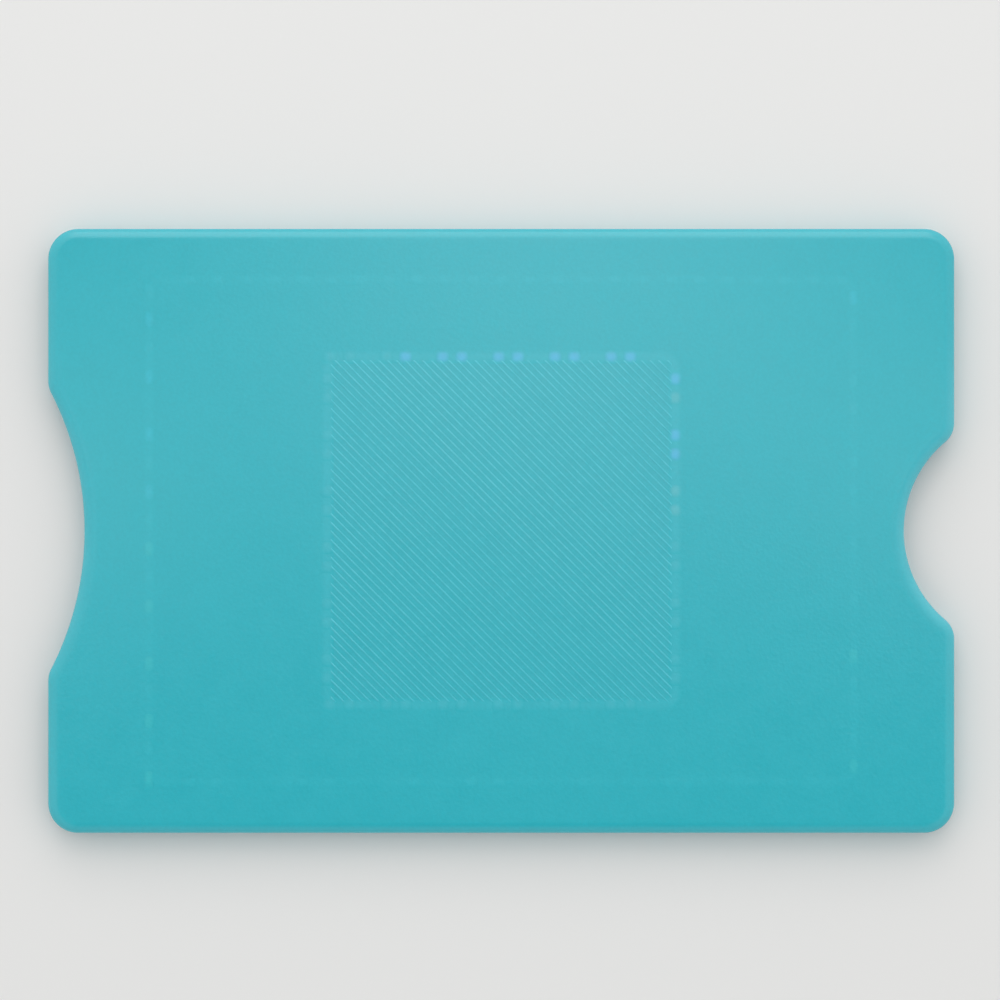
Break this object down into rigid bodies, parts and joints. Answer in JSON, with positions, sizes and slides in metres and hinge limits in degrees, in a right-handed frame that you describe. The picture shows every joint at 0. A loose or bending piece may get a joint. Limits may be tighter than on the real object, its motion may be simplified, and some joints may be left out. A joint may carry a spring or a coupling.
{
  "type": "rfid card sleeve",
  "caption": "Rigid flat card sleeve with a foil-lined slot, a wide grip cut-out at the open end, a round push notch at the closed end and a finely hatched square on the front.",
  "frame": {"origin": "centre of the rear cover's outer face, on the surface that the sleeve lies on", "axes": "+X from the open mouth to the closed end with the push notch, +Y across the sleeve, +Z out of the front cover"},
  "size_m": [0.09, 0.06, 0.0034],
  "materials": {
    "cover_plastic": "teal, fine spark-eroded matt grain",
    "rail_plastic": "teal, plain matt",
    "weld_plastic": "teal, melted and set",
    "shield_foil": "rolled, bright, lightly creased",
    "adhesive_film": "clear acrylic adhesive film",
    "print_ink": "pale teal screen-printed ink"
  },
  "bodies": {
    "root": {"front_cover": "cover_plastic", "rear_cover": "cover_plastic", "left_rail": "rail_plastic", "right_rail": "rail_plastic", "front_weld_beads": "weld_plastic", "rear_weld_beads": "weld_plastic", "front_shield_foil": "shield_foil", "rear_shield_foil": "shield_foil", "front_foil_film": "adhesive_film", "rear_foil_film": "adhesive_film", "hatch_print": "print_ink"}
  },
  "joints": []
}
